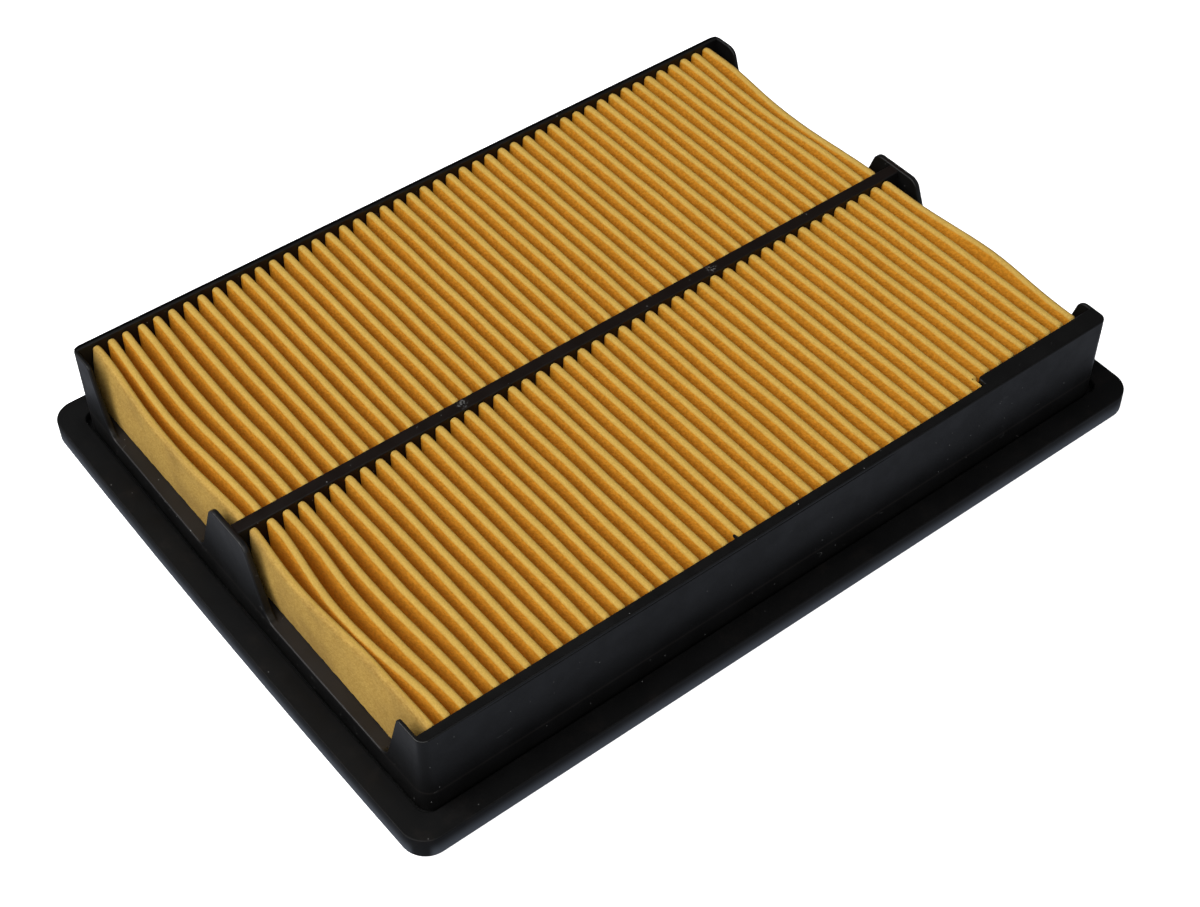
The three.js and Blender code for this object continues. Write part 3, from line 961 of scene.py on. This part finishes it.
def glue_material():
    nodes = Nodes("amber_hot_melt")
    cloud = nodes.noise(3.5, detail=3)
    colour = nodes.mix(cloud, rgb(0.11, 0.045, 0.01), rgb(0.23, 0.11, 0.03))
    normal = nodes.bump(nodes.noise(1.2), 0.06)
    rough = nodes.ramp(nodes.noise(2.2), 0.3, 0.7, 0.28, 0.5)
    return nodes.finish(Base_Color=colour, Roughness=rough, Subsurface_Weight=0.1, Normal=normal)


# ---- The pieces on the frame ---------------------------------------------------------------------

def settle(obj, material, node, smooth_angle=40):
    """Smooth shading, the material, and the piece's place on the frame."""
    obj.data.materials.clear()
    obj.data.materials.append(material)
    obj.data.shade_smooth()
    obj.data.set_sharp_from_angle(angle=math.radians(smooth_angle))
    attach(obj, "root")
    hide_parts(node)
    return obj


moulding = settle(build_frame(), plastic_material(), "frame")
moulding.modifiers.new("flat faces stay flat", "WEIGHTED_NORMAL").keep_sharp = True
settle(build_seal(), rubber_material(), "perimeter_seal")

paper = paper_material()
resin = resin_material()
hot_melt = glue_material()
for bay in BAYS:
    settle(build_pack(bay), paper, f"{bay}_pleat_pack", smooth_angle=70)
    for seed, place in enumerate(("wall", "bar")):
        node = f"{bay}_{place}_potting"
        settle(build_potting(node, f"{node}_layer", seed), resin, node)
    for seed, end in enumerate(("left", "right")):
        node = f"{bay}_{end}_glue_strip"
        settle(build_strip(node, f"{node}_bead", seed), hot_melt, node)


# ---- Floor, light and camera ---------------------------------------------------------------------

def build_floor():
    half, height = 4000.0, -0.05
    corners = [(x * half, y * half, height) for x, y in ((-1, -1), (1, -1), (1, 1), (-1, 1))]
    floor = mesh_object("floor", corners, [(0, 1, 2, 3)])
    nodes = Nodes("pale_floor")
    nodes.finish(Base_Color=rgb(0.9, 0.9, 0.91), Roughness=0.9, Specular_IOR_Level=0.0,
                 Emission_Color=rgb(1, 1, 1), Emission_Strength=0.85)
    # Reflections see a dimmer floor, so that black surfaces stay black.
    reflected = nodes.tree.nodes.new("ShaderNodeEmission")
    reflected.inputs["Color"].default_value = rgb(0.84, 0.9, 1.04)
    reflected.inputs["Strength"].default_value = 0.32
    path = nodes.tree.nodes.new("ShaderNodeLightPath")
    chooser = nodes.tree.nodes.new("ShaderNodeMixShader")
    nodes.put(chooser.inputs["Fac"], path.outputs["Is Camera Ray"])
    nodes.tree.links.new(reflected.outputs["Emission"], chooser.inputs[1])
    nodes.tree.links.new(nodes.shader.outputs["BSDF"], chooser.inputs[2])
    # From below the floor is clear, so that the underside can be seen.
    clear = nodes.tree.nodes.new("ShaderNodeBsdfTransparent")
    geometry = nodes.tree.nodes.new("ShaderNodeNewGeometry")
    one_sided = nodes.tree.nodes.new("ShaderNodeMixShader")
    nodes.put(one_sided.inputs["Fac"], geometry.outputs["Backfacing"])
    nodes.tree.links.new(chooser.outputs["Shader"], one_sided.inputs[1])
    nodes.tree.links.new(clear.outputs["BSDF"], one_sided.inputs[2])
    nodes.put(nodes.output.inputs["Surface"], one_sided.outputs["Shader"])
    floor.data.materials.append(nodes.material)


def build_world():
    """A dim studio, darkest in the direction that the flat tops mirror to the camera."""
    mirrored = (0.414, 0.541, 0.732)
    world = bpy.data.worlds.new("studio")
    world.use_nodes = True
    tree = world.node_tree
    background = tree.nodes["Background"]
    background.inputs["Color"].default_value = rgb(0.93, 0.96, 1.0)
    coordinates = tree.nodes.new("ShaderNodeTexCoord")
    product = tree.nodes.new("ShaderNodeVectorMath")
    product.operation = "DOT_PRODUCT"
    tree.links.new(coordinates.outputs["Generated"], product.inputs[0])
    product.inputs[1].default_value = mirrored
    strength = tree.nodes.new("ShaderNodeMapRange")
    tree.links.new(product.outputs["Value"], strength.inputs["Value"])
    for name, value in {"From Min": -0.1, "From Max": 0.8, "To Min": 0.3, "To Max": 0.06}.items():
        strength.inputs[name].default_value = value
    tree.links.new(strength.outputs["Result"], background.inputs["Strength"])
    # The camera itself sees a white backdrop.
    backdrop = tree.nodes.new("ShaderNodeBackground")
    backdrop.inputs["Color"].default_value = rgb(1, 1, 1)
    backdrop.inputs["Strength"].default_value = 1.0
    path = tree.nodes.new("ShaderNodeLightPath")
    chooser = tree.nodes.new("ShaderNodeMixShader")
    tree.links.new(path.outputs["Is Camera Ray"], chooser.inputs["Fac"])
    tree.links.new(background.outputs["Background"], chooser.inputs[1])
    tree.links.new(backdrop.outputs["Background"], chooser.inputs[2])
    tree.links.new(chooser.outputs["Shader"], tree.nodes["World Output"].inputs["Surface"])
    bpy.context.scene.world = world


def area_light(name, place, size, power):
    """A softbox of this width and height at place, in metres, that faces the middle of the part."""
    light = bpy.data.lights.new(name, "AREA")
    light.shape = "RECTANGLE"
    light.size, light.size_y = size
    light.energy = power
    obj = bpy.data.objects.new(name, light)
    obj.location = place
    obj.rotation_euler = (-Vector(place)).to_track_quat("-Z", "Y").to_euler()
    bpy.context.scene.collection.objects.link(obj)


def build_camera():
    azimuth, elevation, roll = (math.radians(a) for a in (-37.414, 47.05, -0.739))
    distance, shift_right, shift_up = 685.7, -2.37, 11.41
    focal_by_width, sensor = 1.76425, 36
    back = Vector((math.sin(azimuth) * math.cos(elevation), -math.cos(azimuth) * math.cos(elevation),
                   math.sin(elevation)))
    level = Vector((math.cos(azimuth), math.sin(azimuth), 0))
    upright = back.cross(level)
    right = math.cos(roll) * level + math.sin(roll) * upright
    up = math.cos(roll) * upright - math.sin(roll) * level
    data = bpy.data.cameras.new("camera")
    data.sensor_width = sensor
    data.lens = sensor * focal_by_width
    data.clip_start = 0.05
    camera = bpy.data.objects.new("camera", data)
    place = (back * distance - right * shift_right - up * shift_up) * MM
    turn = Matrix((right, up, back)).transposed().to_4x4()
    camera.matrix_world = Matrix.Translation(place) @ turn
    bpy.context.scene.collection.objects.link(camera)
    bpy.context.scene.camera = camera


build_floor()
build_world()
area_light("key_softbox", (-1.2, 0.5, 1.5), (1.6, 1.6), 36)
area_light("fill_softbox", (-0.8, -1.4, 1.5), (1.8, 1.8), 24)
# The underside is lit from inside the seal's ring, where no light can leak out.
area_light("underside_glow", (0, 0, -0.00003), tuple(2 * SEAL_INNER * MM), 0.1)
build_camera()
bpy.context.scene.view_settings.view_transform = "Standard"
